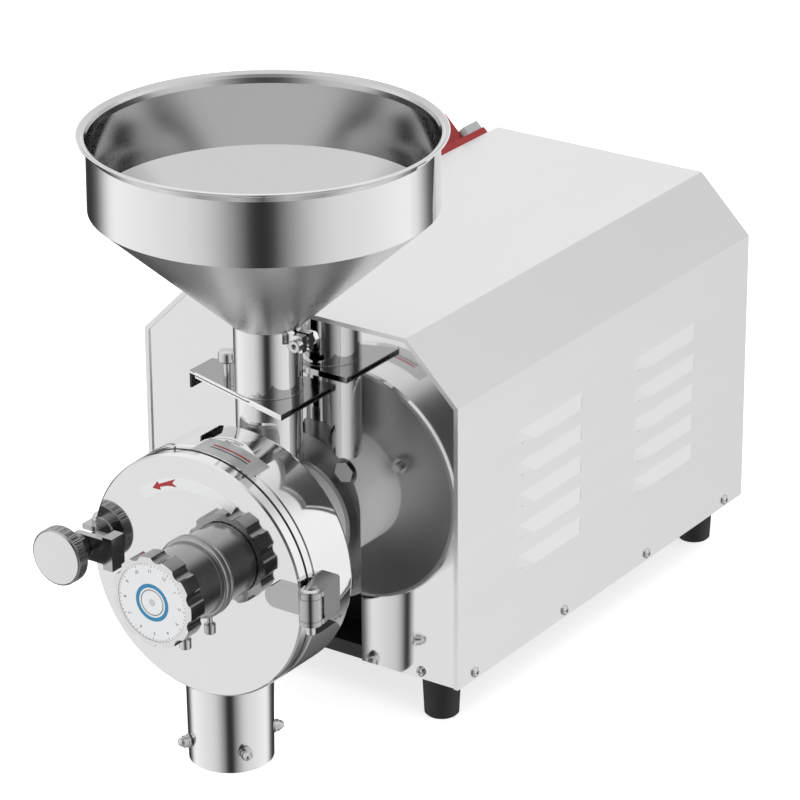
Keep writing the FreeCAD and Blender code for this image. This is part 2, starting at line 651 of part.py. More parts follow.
# ---------------------------------------------------------------- front cover
def front_cover():
    axis = {"z": "shaft_height", "along": "Y"}
    lid = turned("lid", [
        (16.1, "cover_front"), ("cover_radius - 1.2", "cover_front"), ("cover_radius", "cover_front + 1.2"),
        ("cover_radius", "drum_front - 1.6"), ("cover_radius - 4.4", "drum_front - 1.6"),
        ("cover_radius - 4.4", "cover_front + 4"), (16.1, "cover_front + 4"),
    ], z="shaft_height", along="Y")
    node(lid, "front_cover")
    node(ring("seal", "cover_radius - 0.9", "cover_radius - 4.4", 1.5, y="drum_front - 1.6", **axis),
         "cover_gasket")

    sleeve = turned("sleeve", [
        ("spindle_radius + 0.08", "sleeve_front"), ("sleeve_radius - 0.6", "sleeve_front"),
        ("sleeve_radius", "sleeve_front + 0.6"), ("sleeve_radius", "cover_front"), (16, "cover_front"),
        (16, "cover_front + 7"), ("spindle_radius + 0.08", "cover_front + 7"),
    ], z="shaft_height", along="Y")
    lock_hole = cylinder("lock_hole", 2.05, 30, 0, "cover_front - 13", "shaft_height - sleeve_radius - 6")
    node(cut("sleeve_cut", sleeve, lock_hole), "adjusting_sleeve")
    bead = doc.addObject("Part::Torus", "bead")
    bind(bead, Radius1="sleeve_radius + 0.6", Radius2=2.3)
    place(bead, 0, "cover_front - 2.3", "shaft_height", "Y")
    through = cylinder("bead_bore", "sleeve_radius", 20, y="cover_front - 12", **axis)
    node(cut("bead_cut", bead, through), "sleeve_ring")
    node(turned("lock_screw", [
        (0, -20.5), (3.6, -20.5), (4, -20), (4, -14), (3.4, -13.4), (2, -13.2), (2, 12.4), (0, 12.4),
    ], 0, "cover_front - 13", "shaft_height - sleeve_radius"), "sleeve_lock_screw")

    axis_z = "shaft_height + 5.5"
    leaf = box("leaf", 23, 5.5, 15, "hinge_across - 15.5", "cover_front - 5.5", axis_z + " - 7.5")
    leaf_end = cylinder("leaf_end", 7.5, 5.5, "hinge_across - 27", "cover_front - 5.5", axis_z, "Y")
    knuckle = cylinder("knuckle", 7.5, 15, "hinge_across", "hinge_front", axis_z + " - 7.5")
    low_end = axis_z + " - 30"
    pin_hole = cylinder("leaf_hole", "hinge_pin_radius + 0.06", 60, "hinge_across", "hinge_front", low_end)
    node(cut("leaf_cut", fuse("leaf_whole", leaf, leaf_end, knuckle), pin_hole), "hinge_leaf")

    block_points = [(83.9, -89), (83.9, -102.6), (86.2, -113.5), (87, "hinge_front"), (99, "hinge_front"),
                    (100.3, -114), (96.5, -91), (94, -89)]
    points = [("%s - hinge_across" % x, "%s - (hinge_front)" % y) for x, y in block_points]
    block = plate("block", points, 22.4, "hinge_across", "hinge_front", axis_z + " - 11.2")
    ears = cylinder("block_ears", 7.5, 22.4, "hinge_across", "hinge_front", axis_z + " - 11.2")
    gap = cylinder("block_gap", 8.3, 15.6, "hinge_across", "hinge_front", axis_z + " - 7.8")
    sweep_gap = box("block_front_gap", 40, 12, 15.6, "hinge_across", "hinge_front - 6", axis_z + " - 7.8")
    pin_bore = cylinder("block_bore", "hinge_pin_radius", 60, "hinge_across", "hinge_front", low_end)
    round_drum = cylinder("block_drum", "drum_radius", 24.5, y="drum_front + 1", **axis)
    foot_of_block = box("block_foot", 8, 12.5, 22.4, 82.5, -101.5, axis_z + " - 11.2")
    whole = fuse("block_whole", block, ears, foot_of_block)
    node(cut("block_cut", whole, gap, sweep_gap, pin_bore, round_drum), "hinge_bracket")
    node(turned("pin", [(0, -19), (2.5, -19), ("hinge_pin_radius", -18.4), ("hinge_pin_radius", 11.2),
                        (6, 11.2), (6, 12.2), (4.6, 13.4), (0, 13.8)], "hinge_across", "hinge_front", axis_z),
         "hinge_pin")


def clamp():
    middle = "shaft_height"
    tongue = cylinder("ear_tongue", 8.6, 5, "clamp_across", "cover_front - 5", middle, "Y")
    neck = box("ear_neck", 22, 5, 17.2, "clamp_across + 11", "cover_front - 5", "shaft_height - 8.6")
    wide = box("ear_wide", 7.6, 6.5, 23, "clamp_across + 24.8", "cover_front - 6.5", "shaft_height - 11.5")
    ear = fuse("ear", tongue, neck, wide)
    ear_hole = cylinder("ear_hole", 3.3, 30, "clamp_across", "cover_front - 20", middle, "Y")
    node(cut("ear_cut", ear, ear_hole), "clamp_ear")
    lug = box("lug", 20, 13, 17, -90, "drum_front + 0.4", "shaft_height - 9.5")
    lug_drum = cylinder("lug_drum", "drum_radius", 40, 0, "drum_front - 5", middle, "Y")
    slot_end = cylinder("slot_end", 3.8, 40, "clamp_across", "drum_front - 15", middle, "Y")
    slot = box("slot", 20, 40, 7.6, "clamp_across - 10", "drum_front - 15", "shaft_height - 3.8")
    pin_hole = cylinder("lug_pin_hole", 2, 60, "clamp_across - 1", "drum_front + 8.6", "shaft_height - 20")
    node(cut("lug_cut", lug, lug_drum, slot_end, slot, pin_hole), "clamp_lug")
    acorn = turned("acorn", [
        (0, -14), (3.6, -14), (3.6, -9.5), (2, -9.5), (2, 7.5), (4.6, 7.5), (4.6, 10.4), (3.9, 10.8),
        (3.5, 12.6), (2, 14.2), (0, 14.7),
    ], "clamp_across - 1", "drum_front + 8.6", middle)
    node(acorn, "clamp_pin")
    washer = ring("washer", 8.4, 3.3, 1.2, "clamp_across", "cover_front - 6.3", middle, "Y")
    node(washer, "clamp_washer")
    reach = "cover_front - 6.4"
    knob = turned("knob", [
        (0, "knob_front"), ("knob_radius - 1.4", "knob_front + 0.4"),
        ("knob_radius - 0.4", "knob_front + 1.4"), ("knob_radius", "knob_front + 2.4"),
        ("knob_radius", "knob_front + 8.6"),
        ("knob_radius - 1", "knob_front + 9.4"), (10.4, "knob_front + 9.8"), (9.6, "knob_front + 11"),
        (9.6, reach), (3, reach), (3, "drum_front + 4.6"), (2.2, "drum_front + 5.4"), (0, "drum_front + 5.4"),
    ], "clamp_across", 0, middle, "Y")
    flutes = [radial_flute("knurl", 60, "knob_radius + 0.35", 0.9, turn) for turn in range(60)]
    node(cut("knob_cut", knob, fuse("knurls", *flutes)), "clamp_knob")


def radial_flute(name, count, reach, width, turn):
    """A bar along Y that cuts one groove of a knurl."""
    angle = 2 * math.pi * turn / count
    x = "clamp_across + (%s) * %.5f" % (reach, math.cos(angle))
    z = "shaft_height + (%s) * %.5f" % (reach, math.sin(angle))
    return cylinder(name, width, 12, x, "knob_front - 1", z, "Y")


# ---------------------------------------------------------------- adjusting dial
DIAL_LOBES = 11


def dial():
    axis = {"z": "shaft_height", "along": "Y"}
    blank = cylinder("dial_blank", "dial_radius", "dial_thick", y="dial_front", **axis)
    recess = cylinder("dial_recess", "dial_radius - 4.3", 10, y="dial_front - 9", **axis)
    skirt = cylinder("dial_skirt", "sleeve_radius + 0.6", 20, y="sleeve_front - 1", **axis)
    hub = cylinder("dial_hub", "spindle_radius", 60, y="dial_front + 2", **axis)
    screw_way = cylinder("dial_screw_way", 2.1, 10, y="dial_front - 5", **axis)
    flutes = []
    for turn in range(DIAL_LOBES):
        angle = 2 * math.pi * (turn + 0.5) / DIAL_LOBES
        x = "(dial_radius + 3) * %.5f" % math.cos(angle)
        z = "shaft_height + (dial_radius + 3) * %.5f" % math.sin(angle)
        flutes.append(cylinder("dial_flute", 5.4, 40, x, "dial_front - 5", z, "Y"))
    node(cut("dial_cut", blank, recess, skirt, hub, screw_way, fuse("dial_flutes", *flutes)), "dial_knob")
    node(ring("dial_disc", "dial_radius - 4.5", 2.2, 0.8, y="dial_front + 0.2", **axis), "dial_plate")
    screw = turned("spindle", [
        (2.5, "dial_front + 2"), ("spindle_radius", "dial_front + 2"), ("spindle_radius", "cover_front + 7"),
        (7, "cover_front + 9"), (7, "cover_front + 13"), (0, "cover_front + 13"), (0, "dial_front + 16"),
        (2.5, "dial_front + 16"),
    ], z="shaft_height", along="Y")
    node(screw, "dial_spindle")
    node(turned("dial_screw_body", [(0, "dial_front + 0.2"), (2, "dial_front + 0.2"), (2, "dial_front + 15"),
                                    (0, "dial_front + 15")], z="shaft_height", along="Y"), "dial_screw")
    node(turned("thrust", [
        (0, "cover_front + 13.1"), (9, "cover_front + 13.1"), (9, "cover_front + 18.6"),
        (6.5, "cover_front + 19.4"), (0, "cover_front + 19.4"),
    ], **axis), "thrust_bearing")


# ---------------------------------------------------------------- switch and cable gland
BUTTON_BACK = "switch_start + 26"


def switch():
    def block(name, across, back, up, slope, start, proud):
        item = doc.addObject("Part::Box", name)
        bind(item, Length=across, Width=back, Height=up)
        return place(item, *chamfer_point(slope, "switch_start + %s" % start, proud), along="chamfer")

    frame = block("bezel", 54, 60, 5, -27, 0, 0)
    window = block("bezel_window", 44, 54, 20, -22, 3, -5)
    node(cut("bezel_cut", frame, window), "switch_bezel")
    body = block("switch_low", 43.6, 53.6, 25, -21.8, 3.2, -20)
    raised = block("switch_high", 53, 17, 6.6, -26.5, 41.2, 5)
    wells = [place(doc_cylinder("well_%d" % index, 6.8, 20), *chamfer_point(slope, BUTTON_BACK, -1),
                   along="chamfer") for index, slope in enumerate((-11, 11))]
    node(cut("switch_cut", fuse("switch_join", body, raised), *wells), "switch_body")
    for name, slope in (("start_button", -11), ("stop_button", 11)):
        node(turned(name + "_body", [(0, 0), (6.4, 0), (6.4, 3.4), (5.6, 4), (0, 4.2)],
                    *chamfer_point(slope, BUTTON_BACK, 1.4), along="chamfer"), name)
    flap = block("flap", 42, 2.4, 21, -21, 38, 6.4)
    barrel = place(doc_cylinder("flap_barrel", 1.2, 42), *chamfer_point(-21, "switch_start + 39.2", 6.4),
                   along="slope")
    node(fuse("flap_join", flap, barrel), "stop_paddle")


def doc_cylinder(name, radius, length):
    return bind(doc.addObject("Part::Cylinder", name), Radius=radius, Height=length)


def cable_gland():
    at = {"x": 80, "z": "feet_height + 34", "along": "Y"}
    start = "housing_length - sheet_wall"
    nut = hexagon("gland_hex", 19, 5, y=start, **at)
    dome = cone("gland_dome", 9.2, 7.4, 9, y=start + " + 5", **at)
    thread = cylinder("gland_thread", 7.9, 10, y=start + " - 9.9", **at)
    bore = cylinder("gland_bore", 4.2, 60, y=start + " - 30", **at)
    node(cut("gland_cut", fuse("gland_whole", nut, dome, thread), bore), "cable_gland")


def write_nodes():
    doc.recompute()
    for item in doc.Objects:
        if "Invalid" in item.State or "Error" in item.State:
            raise SystemExit("failed: %s (%s)" % (item.Name, item.State))
    os.makedirs("parts", exist_ok=True)
    for item in nodes:
        if item.Shape.isNull() or not item.Shape.isValid():
            raise SystemExit("not a valid shape: " + item.Label)
        item.Shape.exportStep("parts/%s.step" % item.Label)
    print(len(nodes), "nodes written")


for build in (housing, feet, cover_screws, motor, chamber, rotor, spout, feed, hopper, front_cover, clamp,
              dial, switch, cable_gland):
    build()
write_nodes()
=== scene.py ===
import json
import math

import bmesh
import bpy
from mathutils import Matrix, Vector


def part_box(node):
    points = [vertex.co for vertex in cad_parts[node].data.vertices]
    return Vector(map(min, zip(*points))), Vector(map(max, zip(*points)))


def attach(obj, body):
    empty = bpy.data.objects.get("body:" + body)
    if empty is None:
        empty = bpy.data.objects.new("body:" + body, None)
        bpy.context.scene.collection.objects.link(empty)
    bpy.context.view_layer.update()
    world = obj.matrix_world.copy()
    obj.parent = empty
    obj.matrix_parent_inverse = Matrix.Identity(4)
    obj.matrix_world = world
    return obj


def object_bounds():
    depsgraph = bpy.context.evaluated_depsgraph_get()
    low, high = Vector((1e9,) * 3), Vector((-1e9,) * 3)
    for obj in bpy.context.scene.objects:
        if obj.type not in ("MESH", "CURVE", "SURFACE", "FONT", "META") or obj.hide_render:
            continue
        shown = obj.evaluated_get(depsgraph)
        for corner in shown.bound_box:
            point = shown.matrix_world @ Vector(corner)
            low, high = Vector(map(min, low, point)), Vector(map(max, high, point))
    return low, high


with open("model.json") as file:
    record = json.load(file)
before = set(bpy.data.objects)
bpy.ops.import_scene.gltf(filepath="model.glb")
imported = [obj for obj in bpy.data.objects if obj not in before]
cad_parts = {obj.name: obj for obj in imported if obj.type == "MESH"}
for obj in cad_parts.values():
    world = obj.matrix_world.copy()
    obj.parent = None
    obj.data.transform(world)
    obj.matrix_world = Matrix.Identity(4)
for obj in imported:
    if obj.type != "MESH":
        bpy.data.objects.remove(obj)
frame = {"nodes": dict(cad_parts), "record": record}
cad_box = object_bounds()
nodes = frame["nodes"]
MM = 0.001

# ---------------------------------------------------------------- camera
CAMERA_AZIMUTH = math.radians(34.51)
CAMERA_ELEVATION = math.radians(23.32)
CAMERA_ROLL = math.radians(0.37)
CAMERA_DISTANCE = 2.575
CAMERA_TARGET = Vector((0.0807, -0.177, 0.2239))
CAMERA_LENS = 181.5


def make_camera():
    data = bpy.data.cameras.new("camera")
    data.sensor_width = 36
    data.lens = CAMERA_LENS
    data.clip_end = 50
    camera = bpy.data.objects.new("camera", data)
    bpy.context.scene.collection.objects.link(camera)
    flat = math.cos(CAMERA_ELEVATION)
    back = Vector((math.sin(CAMERA_AZIMUTH) * flat, -math.cos(CAMERA_AZIMUTH) * flat,
                   math.sin(CAMERA_ELEVATION)))
    camera.location = CAMERA_TARGET + back * CAMERA_DISTANCE
    aim = (-back).to_track_quat("-Z", "Y").to_matrix().to_4x4()
    camera.matrix_world = Matrix.Translation(camera.location) @ aim @ Matrix.Rotation(-CAMERA_ROLL, 4, "Z")
    bpy.context.scene.camera = camera


# ---------------------------------------------------------------- node helpers
def link_value(tree, socket, value):
    if isinstance(value, bpy.types.NodeSocket):
        tree.links.new(value, socket)
    else:
        socket.default_value = value


def math_node(tree, operation, first, second=0.0):
    item = tree.nodes.new("ShaderNodeMath")
    item.operation = operation
    link_value(tree, item.inputs[0], first)
    link_value(tree, item.inputs[1], second)
    return item.outputs[0]


def ramp_node(tree, half_turn, stops, interpolation):
    """A grey ramp through (degrees, brightness) stops, by the share of a half turn."""
    item = tree.nodes.new("ShaderNodeValToRGB")
    item.color_ramp.interpolation = interpolation
    elements = item.color_ramp.elements
    while len(elements) < len(stops):
        elements.new(0.5)
    for element, (degrees, bright) in zip(elements, stops):
        element.position = degrees / 180
        element.color = (bright, bright, bright, 1)
    tree.links.new(half_turn, item.inputs["Fac"])
    return item.outputs["Color"]


def mix_colour(tree, factor, first, second):
    item = tree.nodes.new("ShaderNodeMix")
    item.data_type = "RGBA"
    link_value(tree, item.inputs["Factor"], factor)
    # Sockets 6 and 7 and output 2 are the colour ones: A, B and Result.
    link_value(tree, item.inputs[6], first)
    link_value(tree, item.inputs[7], second)
    return item.outputs[2]


def fade(tree, value, start, end):
    """0 where value is start, 1 where it is end, clamped."""
    item = tree.nodes.new("ShaderNodeMapRange")
    tree.links.new(value, item.inputs["Value"])
    item.inputs["From Min"].default_value = start
    item.inputs["From Max"].default_value = end
    return item.outputs[0]


# ---------------------------------------------------------------- studio
# Brightness of the studio by the angle away from the camera's side, in degrees: a dark gap between
# two wide soft boxes in front, dark cloth behind and below the horizon, and a white ceiling.
LOW_STUDIO = [(0, 0.03), (7, 0.05), (12, 0.17), (18, 0.30), (26, 0.47), (36, 0.66), (50, 0.78), (75, 0.85),
              (105, 1), (116, 0.95), (126, 0.5), (136, 0.12), (150, 0.03), (165, 0.05), (180, 0.1)]
HIGH_STUDIO = [(0, 0.07), (14, 0.1), (25, 0.42), (40, 0.8), (80, 0.95), (106, 1.15), (119, 0.52), (140, 0.8),
               (180, 0.97)]
NADIR = [(0, 0.12), (25, 0.5), (60, 0.35), (90, 0.7), (130, 0.25), (180, 0.3)]
CEILING = 0.92
BACKDROP = 1.05
# Where one zone fades into the next, as the height of the direction on a unit sphere.
HORIZON_FADE = (-0.12, 0.12)
CEILING_FADE = (0.62, 0.85)
NADIR_FADE = (-0.57, -0.86)


def studio_colour(tree):
    """The colour of the studio in each direction."""
    place = tree.nodes.new("ShaderNodeTexCoord")
    turn = tree.nodes.new("ShaderNodeVectorRotate")
    turn.rotation_type = "Z_AXIS"
    turn.inputs["Angle"].default_value = -CAMERA_AZIMUTH
    tree.links.new(place.outputs["Generated"], turn.inputs["Vector"])
    axes = tree.nodes.new("ShaderNodeSeparateXYZ")
    tree.links.new(turn.outputs["Vector"], axes.inputs[0])
    across, along, up = axes.outputs
    angle = math_node(tree, "ARCTAN2", across, math_node(tree, "MULTIPLY", along, -1.0))
    half_turn = math_node(tree, "DIVIDE", math_node(tree, "ABSOLUTE", angle), math.pi)
    low = ramp_node(tree, half_turn, LOW_STUDIO, "B_SPLINE")
    high = ramp_node(tree, half_turn, HIGH_STUDIO, "B_SPLINE")
    nadir = ramp_node(tree, half_turn, NADIR, "LINEAR")
    colour = mix_colour(tree, fade(tree, up, *HORIZON_FADE), low, high)
    colour = mix_colour(tree, fade(tree, up, *CEILING_FADE), colour, (CEILING, CEILING, CEILING, 1))
    return mix_colour(tree, fade(tree, up, *NADIR_FADE), colour, nadir)


def studio_light():
    """The studio lights the object, and the camera itself sees a white backdrop."""
    world = bpy.data.worlds.new("studio")
    bpy.context.scene.world = world
    world.use_nodes = True
    tree = world.node_tree
    tree.nodes.clear()
    lit = tree.nodes.new("ShaderNodeBackground")
    tree.links.new(studio_colour(tree), lit.inputs["Color"])
    white = tree.nodes.new("ShaderNodeBackground")
    white.inputs["Strength"].default_value = BACKDROP
    ray = tree.nodes.new("ShaderNodeLightPath")
    mix = tree.nodes.new("ShaderNodeMixShader")
    tree.links.new(ray.outputs["Is Camera Ray"], mix.inputs[0])
    tree.links.new(lit.outputs[0], mix.inputs[1])
    tree.links.new(white.outputs[0], mix.inputs[2])
    out = tree.nodes.new("ShaderNodeOutputWorld")
    tree.links.new(mix.outputs[0], out.inputs["Surface"])
    bpy.context.scene.view_settings.view_transform = "Standard"


def stage_slab(name, low, high, finish):
    mesh = bpy.data.meshes.new(name)
    form = bmesh.new()
    bmesh.ops.create_cube(form, size=1)
    for vertex in form.verts:
        for axis in range(3):
            middle, span = (low[axis] + high[axis]) / 2, high[axis] - low[axis]
            vertex.co[axis] = middle + vertex.co[axis] * span
    form.to_mesh(mesh)
    form.free()
    mesh.materials.append(finish)
    slab = bpy.data.objects.new(name, mesh)
    bpy.context.scene.collection.objects.link(slab)
    slab.visible_glossy = False


# ---------------------------------------------------------------- materials
BUMP_DEPTH = 0.4 * MM


def material(name, colour, metallic=0.0, rough=0.4, coat=0.0, glow=0.0):
    item = bpy.data.materials.new(name)
    item.use_nodes = True
    shader = item.node_tree.nodes["Principled BSDF"]
    shader.inputs["Base Color"].default_value = (*colour, 1)
    shader.inputs["Metallic"].default_value = metallic
    shader.inputs["Roughness"].default_value = rough
    shader.inputs["Coat Weight"].default_value = coat
    if glow:
        shader.inputs["Emission Color"].default_value = (1, 1, 1, 1)
        shader.inputs["Emission Strength"].default_value = glow
    return item


def noise(tree, scale, stretch):
    place = tree.nodes.new("ShaderNodeTexCoord")
    mapping = tree.nodes.new("ShaderNodeMapping")
    mapping.inputs["Scale"].default_value = stretch
    tree.links.new(place.outputs["Object"], mapping.inputs["Vector"])
    item = tree.nodes.new("ShaderNodeTexNoise")
    item.inputs["Scale"].default_value = scale
    item.inputs["Detail"].default_value = 3
    tree.links.new(mapping.outputs[0], item.inputs["Vector"])
    return item.outputs["Fac"]


def spread(tree, value, low, high):
    """A value between 0 and 1 stretched to run from low to high."""
    item = tree.nodes.new("ShaderNodeMapRange")
    tree.links.new(value, item.inputs["Value"])
    item.inputs["To Min"].default_value = low
    item.inputs["To Max"].default_value = high
    return item.outputs[0]


def worn(item, rough_low, rough_high, scale, bump=0.0, stretch=(1, 1, 1)):
    """Roughness that wanders between two values, with an optional fine bump."""
    tree = item.node_tree
    shader = tree.nodes["Principled BSDF"]
    grain = noise(tree, scale, stretch)
    tree.links.new(spread(tree, grain, rough_low, rough_high), shader.inputs["Roughness"])
    if bump:
        lift = tree.nodes.new("ShaderNodeBump")
        lift.inputs["Strength"].default_value = bump
        lift.inputs["Distance"].default_value = BUMP_DEPTH
        tree.links.new(grain, lift.inputs["Height"])
        tree.links.new(lift.outputs[0], shader.inputs["Normal"])
    return item


def metal(name, grey, rough_low, rough_high, scale, bump=0.0, stretch=(1, 1, 1)):
    """Bare metal of one brightness, a trace bluer than grey."""
    tint = (grey, grey, grey * 1.005)
    return worn(material(name, tint, metallic=1.0), rough_low, rough_high, scale, bump, stretch)


def make_materials():
    return {
        "stainless_satin": metal("stainless_satin", 0.84, 0.26, 0.36, 12, 0.02, (1, 0.2, 6)),
        "stainless_mirror": metal("stainless_mirror", 0.86, 0.025, 0.07, 18, 0.01),
        "steel_turned": metal("steel_turned", 0.45, 0.16, 0.26, 60, 0.05, (1, 12, 1)),
        "steel_cast": metal("steel_cast", 0.5, 0.1, 0.2, 50, 0.03),
        "steel_fastener": metal("steel_fastener", 0.7, 0.12, 0.22, 80),
        "rear_steel": metal("rear_steel", 0.8, 0.28, 0.38, 12, 0.02, (0.3, 1, 5)),
        "black_paint": worn(material("black_paint", (0.015, 0.015, 0.017)), 0.35, 0.5, 40),
        "grey_cast": metal("grey_cast", 0.5, 0.3, 0.45, 120, 0.08),
        "aluminium": metal("aluminium", 0.5, 0.35, 0.5, 90, 0.05),
        "core_steel": metal("core_steel", 0.4, 0.3, 0.4, 90, 0.03),
        "black_rubber": worn(material("black_rubber", (0.012, 0.012, 0.012)), 0.55, 0.7, 90, 0.05),
        "gasket_rubber": worn(material("gasket_rubber", (0.05, 0.05, 0.05)), 0.5, 0.6, 90),
        "white_plastic": worn(material("white_plastic", (0.78, 0.79, 0.8)), 0.28, 0.34, 60),
        "grey_plastic": worn(material("grey_plastic", (0.55, 0.58, 0.59)), 0.3, 0.36, 60),
        "red_plastic": worn(material("red_plastic", (0.42, 0.008, 0.012), coat=0.1), 0.25, 0.33, 60),
        "green_plastic": worn(material("green_plastic", (0.02, 0.3, 0.08), coat=0.2), 0.25, 0.33, 60),
        "black_plastic": worn(material("black_plastic", (0.02, 0.02, 0.02)), 0.35, 0.45, 60),
    }


def make_finishes():
    """Finishes for single faces and small printed pieces."""
    return {
        "drum_back": metal("drum_back", 0.6, 0.4, 0.5, 60, 0.05),
        "barrel": worn(material("barrel", (0.95, 0.95, 0.95), metallic=0.35), 0.36, 0.5, 60, 0.04,
                       (1, 12, 1)),
        # Painted shade: the hopper's inner faces get a darker grey than the same steel outside, standing in
        # for the shade inside the bowl.
        "hopper_inside_painted_shade": metal("hopper_inside_painted_shade", 0.66, 0.1, 0.18, 14, 0.02),
        "hopper_cone": metal("hopper_cone", 0.7, 0.24, 0.32, 14, 0.02),
        "knob_side": metal("knob_side", 0.34, 0.08, 0.16, 60, 0.03),
        # Painted shade: a darker grey for the upward faces at the gate plate's top, so the top reads dark
        # beside its lit edges.
        "plate_top_painted_shade": metal("plate_top_painted_shade", 0.42, 0.06, 0.14, 30, 0.04),
        # Painted shade: near-black steel standing in for the shade under the top gate plate.
        "painted_shade_black": metal("painted_shade_black", 0.06, 0.3, 0.4, 30),
        "ink_grey": material("ink_grey", (0.12, 0.13, 0.14), rough=0.5),
        "ink_black": material("ink_black", (0.02, 0.02, 0.02), rough=0.5),
        "ink_red": material("ink_red", (0.45, 0.02, 0.03), rough=0.4),
        "ink_blue": material("ink_blue", (0.012, 0.22, 0.43), rough=0.4),
        "film": material("film", (0.9, 0.92, 0.91), metallic=0.75, rough=0.22),
        "label": material("label", (0.62, 0.62, 0.62), metallic=0.6, rough=0.3),
        "floor": material("floor", (0.86, 0.86, 0.86), rough=0.9, glow=0.72),
    }


def finish_nodes():
    """Each node gets the material of its slot in the record."""
    for part in frame["record"]["subparts"]:
        mesh = nodes[part["node"]].data
        mesh.materials.clear()
        mesh.materials.append(materials[part["material_slot"]])


def paint(node, finish, chosen):
    """Another material on the faces of a node that pass the test chosen(middle, normal)."""
    mesh = nodes[node].data
    mesh.materials.append(finish)
    for face in mesh.polygons:
        if chosen(nodes[node].matrix_world @ face.center, face.normal):
            face.material_index = len(mesh.materials) - 1


def inward(middle, centre):
    """The level direction from a face to an upright axis."""
    return Vector((centre.x - middle.x, centre.y - middle.y, 0)).normalized()


SQUARE_ON = 0.9
SLOPED = 0.3
HOPPER_BAND = 50 * MM
GATE_STACK = 4 * MM
GATE_THICK = 2 * MM


def finish_faces():
    drum_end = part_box("drum_body")[1].y
    paint("drum_body", finishes["drum_back"],
          lambda middle, normal: normal.y > SQUARE_ON and middle.y > drum_end - MM)
    paint("feed_barrel", finishes["barrel"], lambda middle, normal: True)

    low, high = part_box("hopper")
    centre, cone_top = (low + high) / 2, high.z - HOPPER_BAND
    # Painted shade: the inward-facing faces of the hopper take the darker grey finish.
    paint("hopper", finishes["hopper_inside_painted_shade"],
          lambda middle, normal: normal.dot(inward(middle, centre)) > SLOPED)
    paint("hopper", finishes["hopper_cone"],
          lambda middle, normal: normal.z < -SLOPED and middle.z < cone_top)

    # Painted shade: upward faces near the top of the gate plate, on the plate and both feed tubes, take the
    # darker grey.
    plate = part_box("gate_plate")[1].z
    for node in ("feed_tube_lower", "feed_tube_upper", "gate_plate"):
        paint(node, finishes["plate_top_painted_shade"],
              lambda middle, normal: normal.z > SQUARE_ON and abs(middle.z - plate) < GATE_STACK)
    # Painted shade: the gate plate's faces below its top plate are made near black.
    paint("gate_plate", finishes["painted_shade_black"], lambda middle, normal: middle.z < plate - GATE_THICK)

    for node in ("dial_knob", "clamp_knob"):
        paint(node, finishes["knob_side"], lambda middle, normal: abs(normal.y) < 0.7)
        paint(node, materials["stainless_satin"], lambda middle, normal: normal.y < -SQUARE_ON)


# Rounded edges by node, in millimetres.
BEVELS = {"clamp_ear": 0.8, "hinge_leaf": 0.8, "hinge_bracket": 0.7, "clamp_lug": 0.6, "gate_plate": 0.3,
          "dial_knob": 0.5, "clamp_washer": 0.4, "adjusting_sleeve": 0.5, "flange_bolts": 0.4}


def soften_edges():
    for node, width in BEVELS.items():
        edge = nodes[node].modifiers.new("edge", "BEVEL")
        edge.width = width * MM
        edge.segments = 2
        edge.limit_method = "ANGLE"
        edge.angle_limit = math.radians(40)
        edge.use_clamp_overlap = True


# ---------------------------------------------------------------- small pieces
# Thickness of what is printed or stuck on.
PRINT = 0.05 * MM
RING_PRINT = 0.06 * MM
STICKER = 0.08 * MM
LABEL = 0.15 * MM


def add_mesh(name, points, faces, finish, body, smooth=False):
    mesh = bpy.data.meshes.new(name)
    mesh.from_pydata([tuple(p) for p in points], [], faces)
    mesh.validate()
    form = bmesh.new()
    form.from_mesh(mesh)
    bmesh.ops.recalc_face_normals(form, faces=form.faces)
    form.to_mesh(mesh)
    form.free()
    if smooth:
        mesh.shade_smooth()
    mesh.materials.append(finish)
    item = bpy.data.objects.new(name, mesh)
    bpy.context.scene.collection.objects.link(item)
    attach(item, body)
    return item


def add_torus(name, middle, axis, radius, thick, finish, body):
    """A ring of round section about axis."""
    turn = Vector((0, 0, 1)).rotation_difference(Vector(axis)).to_matrix()
    around, section = 96, 12
    points, faces = [], []
    for i in range(around):
        a = 2 * math.pi * i / around
        for j in range(section):
            b = 2 * math.pi * j / section
            reach = radius + thick * math.cos(b)
            flat = Vector((reach * math.cos(a), reach * math.sin(a), thick * math.sin(b)))
            points.append(Vector(middle) + turn @ flat)
            following, over = (i + 1) % around, (j + 1) % section
            faces.append((i * section + j, following * section + j, following * section + over,
                          i * section + over))
    return add_mesh(name, points, faces, finish, body, smooth=True)


def clock(radius, degrees, middle, y):
    """A point on a face seen from the front: degrees run clockwise from the top."""
    a = math.radians(degrees)
    return Vector((middle[0] + radius * math.sin(a), y, middle[2] + radius * math.cos(a)))


def strip_faces(steps):
    """The long faces of a bar whose cross-sections have four corners each."""
    return [(i * 4 + j, i * 4 + (j + 1) % 4, (i + 1) * 4 + (j + 1) % 4, (i + 1) * 4 + j)
            for i in range(steps) for j in range(4)]


def end_faces(steps):
    return [(0, 1, 2, 3), tuple(steps * 4 + j for j in range(4))]


def add_band(name, middle, y, thick, inner, outer, start, end, finish, body):
    """A flat band bent round a circle on a face that looks to -Y."""
    steps = max(2, int(abs(end - start) / 3))
    points = []
    for i in range(steps + 1):
        a = start + (end - start) * i / steps
        for radius, depth in ((inner, 0), (outer, 0), (outer, thick), (inner, thick)):
            points.append(clock(radius, a, middle, y - depth))
    faces = strip_faces(steps)
    if abs(end - start) < 360:
        faces += end_faces(steps)
    return add_mesh(name, points, faces, finish, body)


def add_text(name, words, size, spot, turn, finish, body):
    data = bpy.data.curves.new(name, "FONT")
    data.body = words
    data.size = size
    data.align_x = "CENTER"
    data.align_y = "CENTER"
    data.extrude = 0.04 * MM
    data.materials.append(finish)
    item = bpy.data.objects.new(name, data)
    bpy.context.scene.collection.objects.link(item)
    item.matrix_world = (Matrix.Translation(spot) @ Matrix.Rotation(turn, 4, "Y")
                         @ Matrix.Rotation(math.radians(90), 4, "X"))
    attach(item, body)
    return item


